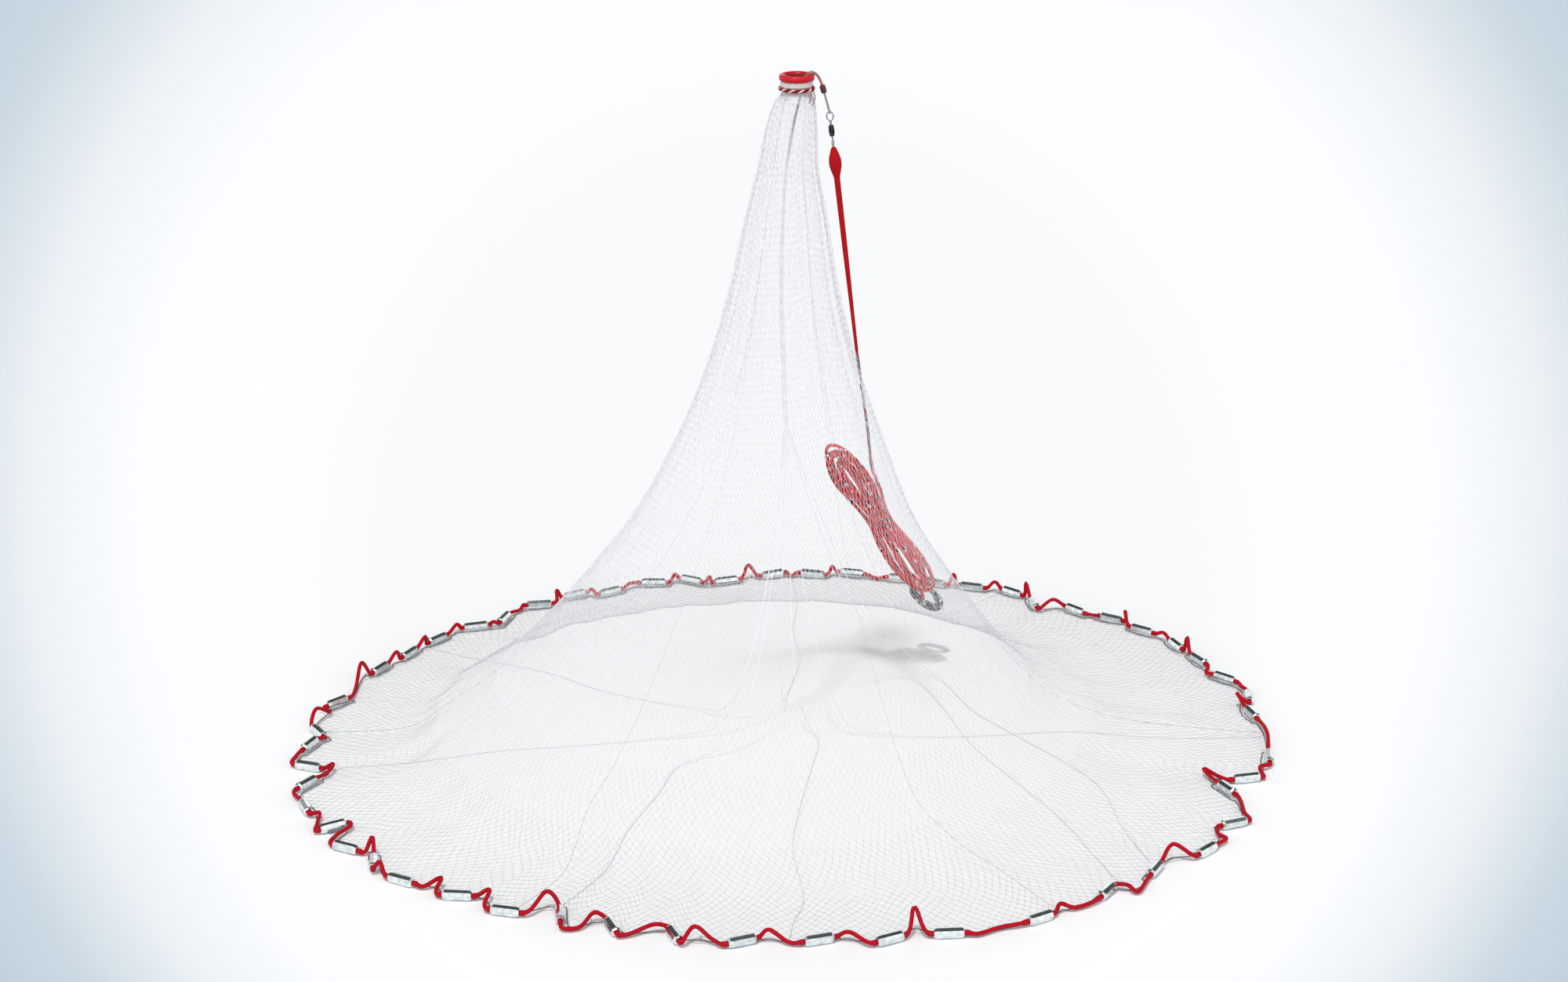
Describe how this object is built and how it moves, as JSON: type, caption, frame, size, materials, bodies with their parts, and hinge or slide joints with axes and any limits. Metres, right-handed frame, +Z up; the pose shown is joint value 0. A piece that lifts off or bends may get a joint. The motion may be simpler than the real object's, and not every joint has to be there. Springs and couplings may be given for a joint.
{
  "type": "cast net",
  "caption": "Throwing net that hangs as a cone from a red ring and flares into a flat skirt, with tube weights on a red rim cord and a coiled hand line.",
  "frame": {"origin": "on the ground under the middle of the lead line", "axes": "+Z up along the cone, +X to the side that the hand line hangs down"},
  "size_m": [1.2692, 1.2723, 0.8855],
  "materials": {
    "white_mesh": "satin",
    "red_plastic": "gloss",
    "red_cord": "matte",
    "cream_twine": "matte",
    "clear_line": "satin",
    "maroon": "matte",
    "zinc": "satin",
    "swivel_wire": "satin",
    "swivel_dark": "satin",
    "red_sheath": "matte",
    "speckled_braid": "matte",
    "dark_braid": "matte"
  },
  "bodies": {
    "net": {"netting_neck": "white_mesh", "netting_flare": "white_mesh", "netting_skirt": "white_mesh", "horn": "red_plastic", "twine_band": "cream_twine", "lashing": "red_cord", "lead_line": "red_cord", "brails": "clear_line", "bead": "maroon", "leader": "clear_line", "swivel_upper_eye": "swivel_wire", "hand_line": "speckled_braid", "hank": "speckled_braid", "wrist_loop": "dark_braid"},
    "swivel_barrel": {"swivel_barrel": "swivel_dark"},
    "line_end": {"swivel_lower_eye": "swivel_wire", "knot_sleeve": "red_sheath", "line_sheath": "red_sheath"},
    "weight_01": {"weight_01": "zinc"},
    "weight_02": {"weight_02": "zinc"},
    "weight_04": {"weight_04": "zinc"},
    "weight_06": {"weight_06": "zinc"},
    "weight_08": {"weight_08": "zinc"},
    "weight_10": {"weight_10": "zinc"},
    "weight_12": {"weight_12": "zinc"},
    "weight_14": {"weight_14": "zinc"},
    "weight_16": {"weight_16": "zinc"},
    "weight_18": {"weight_18": "zinc"},
    "weight_20": {"weight_20": "zinc"},
    "weight_22": {"weight_22": "zinc"},
    "weight_24": {"weight_24": "zinc"},
    "weight_26": {"weight_26": "zinc"},
    "weight_27": {"weight_27": "zinc"},
    "weight_28": {"weight_28": "zinc"},
    "weight_29": {"weight_29": "zinc"},
    "weight_30": {"weight_30": "zinc"},
    "weight_31": {"weight_31": "zinc"},
    "weight_32": {"weight_32": "zinc"},
    "weight_33": {"weight_33": "zinc"},
    "weight_34": {"weight_34": "zinc"},
    "weight_35": {"weight_35": "zinc"},
    "weight_36": {"weight_36": "zinc"},
    "weight_37": {"weight_37": "zinc"},
    "weight_38": {"weight_38": "zinc"},
    "weight_39": {"weight_39": "zinc"},
    "weight_40": {"weight_40": "zinc"},
    "weight_41": {"weight_41": "zinc"},
    "weight_42": {"weight_42": "zinc"},
    "weight_43": {"weight_43": "zinc"},
    "weight_44": {"weight_44": "zinc"},
    "weight_45": {"weight_45": "zinc"},
    "weight_46": {"weight_46": "zinc"},
    "weight_47": {"weight_47": "zinc"},
    "weight_48": {"weight_48": "zinc"},
    "weight_49": {"weight_49": "zinc"},
    "weight_50": {"weight_50": "zinc"},
    "weight_51": {"weight_51": "zinc"},
    "weight_52": {"weight_52": "zinc"},
    "weight_53": {"weight_53": "zinc"},
    "weight_54": {"weight_54": "zinc"}
  },
  "joints": [
    {"name": "swivel_spin", "type": "hinge", "parent": "net", "child": "swivel_barrel", "pos_m": [0.05631, 0.00182, 0.80873], "axis": [0.1145, 0.0743, -0.9906], "continuous": true},
    {"name": "hand_line_spin", "type": "hinge", "parent": "swivel_barrel", "child": "line_end", "pos_m": [0.05785, 0.00282, 0.79536], "axis": [0.1145, 0.0743, -0.9906], "continuous": true},
    {"name": "weight_01_turn", "type": "hinge", "parent": "net", "child": "weight_01", "pos_m": [0.62, 0.066, 0.006], "axis": [-0.2588, 0.9659, 0], "continuous": true},
    {"name": "weight_02_turn", "type": "hinge", "parent": "net", "child": "weight_02", "pos_m": [0.624, 0.125, 0.006], "axis": [0.0872, 0.9962, 0], "continuous": true},
    {"name": "weight_04_turn", "type": "hinge", "parent": "net", "child": "weight_04", "pos_m": [0.573, 0.265, 0.006], "axis": [-0.4226, 0.9063, 0], "continuous": true},
    {"name": "weight_06_turn", "type": "hinge", "parent": "net", "child": "weight_06", "pos_m": [0.506, 0.382, 0.006], "axis": [-0.766, 0.6428, 0], "continuous": true},
    {"name": "weight_08_turn", "type": "hinge", "parent": "net", "child": "weight_08", "pos_m": [0.418, 0.465, 0.006], "axis": [-0.6428, 0.766, 0], "continuous": true},
    {"name": "weight_10_turn", "type": "hinge", "parent": "net", "child": "weight_10", "pos_m": [0.332, 0.54, 0.006], "axis": [-0.7071, 0.7071, 0], "continuous": true},
    {"name": "weight_12_turn", "type": "hinge", "parent": "net", "child": "weight_12", "pos_m": [0.219, 0.584, 0.006], "axis": [-0.8191, 0.5736, 0], "continuous": true},
    {"name": "weight_14_turn", "type": "hinge", "parent": "net", "child": "weight_14", "pos_m": [0.098, 0.624, 0.006], "axis": [-0.9659, 0.2588, 0], "continuous": true},
    {"name": "weight_16_turn", "type": "hinge", "parent": "net", "child": "weight_16", "pos_m": [-0.02, 0.62, 0.006], "axis": [-0.9063, -0.4226, 0], "continuous": true},
    {"name": "weight_18_turn", "type": "hinge", "parent": "net", "child": "weight_18", "pos_m": [-0.14, 0.592, 0.006], "axis": [-0.866, 0.5, 0], "continuous": true},
    {"name": "weight_20_turn", "type": "hinge", "parent": "net", "child": "weight_20", "pos_m": [-0.258, 0.543, 0.006], "axis": [-0.8191, -0.5736, 0], "continuous": true},
    {"name": "weight_22_turn", "type": "hinge", "parent": "net", "child": "weight_22", "pos_m": [-0.358, 0.489, 0.006], "axis": [-0.9848, -0.1736, 0], "continuous": true},
    {"name": "weight_24_turn", "type": "hinge", "parent": "net", "child": "weight_24", "pos_m": [-0.442, 0.398, 0.006], "axis": [-0.9397, -0.342, 0], "continuous": true},
    {"name": "weight_26_turn", "type": "hinge", "parent": "net", "child": "weight_26", "pos_m": [-0.526, 0.29, 0.006], "axis": [-0.4226, -0.9063, 0], "continuous": true},
    {"name": "weight_27_turn", "type": "hinge", "parent": "net", "child": "weight_27", "pos_m": [-0.56, 0.23, 0.006], "axis": [-0.4226, -0.9063, 0], "continuous": true},
    {"name": "weight_28_turn", "type": "hinge", "parent": "net", "child": "weight_28", "pos_m": [-0.603, 0.105, 0.006], "axis": [-0.6428, -0.766, 0], "continuous": true},
    {"name": "weight_29_turn", "type": "hinge", "parent": "net", "child": "weight_29", "pos_m": [-0.614, 0, 0.006], "axis": [0.5, -0.866, 0], "continuous": true},
    {"name": "weight_30_turn", "type": "hinge", "parent": "net", "child": "weight_30", "pos_m": [-0.62, -0.042, 0.006], "axis": [-0.342, -0.9397, 0], "continuous": true},
    {"name": "weight_31_turn", "type": "hinge", "parent": "net", "child": "weight_31", "pos_m": [-0.612, -0.115, 0.006], "axis": [0.9397, -0.342, 0], "continuous": true},
    {"name": "weight_32_turn", "type": "hinge", "parent": "net", "child": "weight_32", "pos_m": [-0.607, -0.172, 0.006], "axis": [-0.5, -0.866, 0], "continuous": true},
    {"name": "weight_33_turn", "type": "hinge", "parent": "net", "child": "weight_33", "pos_m": [-0.598, -0.247, 0.006], "axis": [0.342, -0.9397, 0], "continuous": true},
    {"name": "weight_34_turn", "type": "hinge", "parent": "net", "child": "weight_34", "pos_m": [-0.557, -0.306, 0.006], "axis": [0.8191, 0.5736, 0], "continuous": true},
    {"name": "weight_35_turn", "type": "hinge", "parent": "net", "child": "weight_35", "pos_m": [-0.533, -0.369, 0.006], "axis": [0.866, -0.5, 0], "continuous": true},
    {"name": "weight_36_turn", "type": "hinge", "parent": "net", "child": "weight_36", "pos_m": [-0.495, -0.412, 0.006], "axis": [0.0872, -0.9962, 0], "continuous": true},
    {"name": "weight_37_turn", "type": "hinge", "parent": "net", "child": "weight_37", "pos_m": [-0.456, -0.462, 0.006], "axis": [0.866, -0.5, 0], "continuous": true},
    {"name": "weight_38_turn", "type": "hinge", "parent": "net", "child": "weight_38", "pos_m": [-0.386, -0.505, 0.006], "axis": [0.9962, -0.0872, 0], "continuous": true},
    {"name": "weight_39_turn", "type": "hinge", "parent": "net", "child": "weight_39", "pos_m": [-0.326, -0.548, 0.006], "axis": [0.9659, -0.2588, 0], "continuous": true},
    {"name": "weight_40_turn", "type": "hinge", "parent": "net", "child": "weight_40", "pos_m": [-0.262, -0.558, 0.006], "axis": [0.0872, -0.9962, 0], "continuous": true},
    {"name": "weight_41_turn", "type": "hinge", "parent": "net", "child": "weight_41", "pos_m": [-0.2, -0.59, 0.006], "axis": [0.342, -0.9397, 0], "continuous": true},
    {"name": "weight_42_turn", "type": "hinge", "parent": "net", "child": "weight_42", "pos_m": [-0.128, -0.612, 0.006], "axis": [0.342, -0.9397, 0], "continuous": true},
    {"name": "weight_43_turn", "type": "hinge", "parent": "net", "child": "weight_43", "pos_m": [-0.051, -0.627, 0.006], "axis": [0.9063, 0.4226, 0], "continuous": true},
    {"name": "weight_44_turn", "type": "hinge", "parent": "net", "child": "weight_44", "pos_m": [0.037, -0.623, 0.006], "axis": [0.9397, 0.342, 0], "continuous": true},
    {"name": "weight_45_turn", "type": "hinge", "parent": "net", "child": "weight_45", "pos_m": [0.118, -0.622, 0.006], "axis": [0.866, 0.5, 0], "continuous": true},
    {"name": "weight_46_turn", "type": "hinge", "parent": "net", "child": "weight_46", "pos_m": [0.186, -0.607, 0.006], "axis": [0.9962, 0.0872, 0], "continuous": true},
    {"name": "weight_47_turn", "type": "hinge", "parent": "net", "child": "weight_47", "pos_m": [0.293, -0.566, 0.006], "axis": [0.8191, 0.5736, 0], "continuous": true},
    {"name": "weight_48_turn", "type": "hinge", "parent": "net", "child": "weight_48", "pos_m": [0.377, -0.494, 0.006], "axis": [0.5, 0.866, 0], "continuous": true},
    {"name": "weight_49_turn", "type": "hinge", "parent": "net", "child": "weight_49", "pos_m": [0.44, -0.432, 0.006], "axis": [0.4226, 0.9063, 0], "continuous": true},
    {"name": "weight_50_turn", "type": "hinge", "parent": "net", "child": "weight_50", "pos_m": [0.508, -0.376, 0.006], "axis": [0.6428, 0.766, 0], "continuous": true},
    {"name": "weight_51_turn", "type": "hinge", "parent": "net", "child": "weight_51", "pos_m": [0.551, -0.296, 0.006], "axis": [0.9063, 0.4226, 0], "continuous": true},
    {"name": "weight_52_turn", "type": "hinge", "parent": "net", "child": "weight_52", "pos_m": [0.556, -0.188, 0.006], "axis": [-0.4226, 0.9063, 0], "continuous": true},
    {"name": "weight_53_turn", "type": "hinge", "parent": "net", "child": "weight_53", "pos_m": [0.585, -0.154, 0.006], "axis": [0.9659, 0.2588, 0], "continuous": true},
    {"name": "weight_54_turn", "type": "hinge", "parent": "net", "child": "weight_54", "pos_m": [0.623, -0.086, 0.006], "axis": [0.0872, 0.9962, 0], "continuous": true}
  ]
}
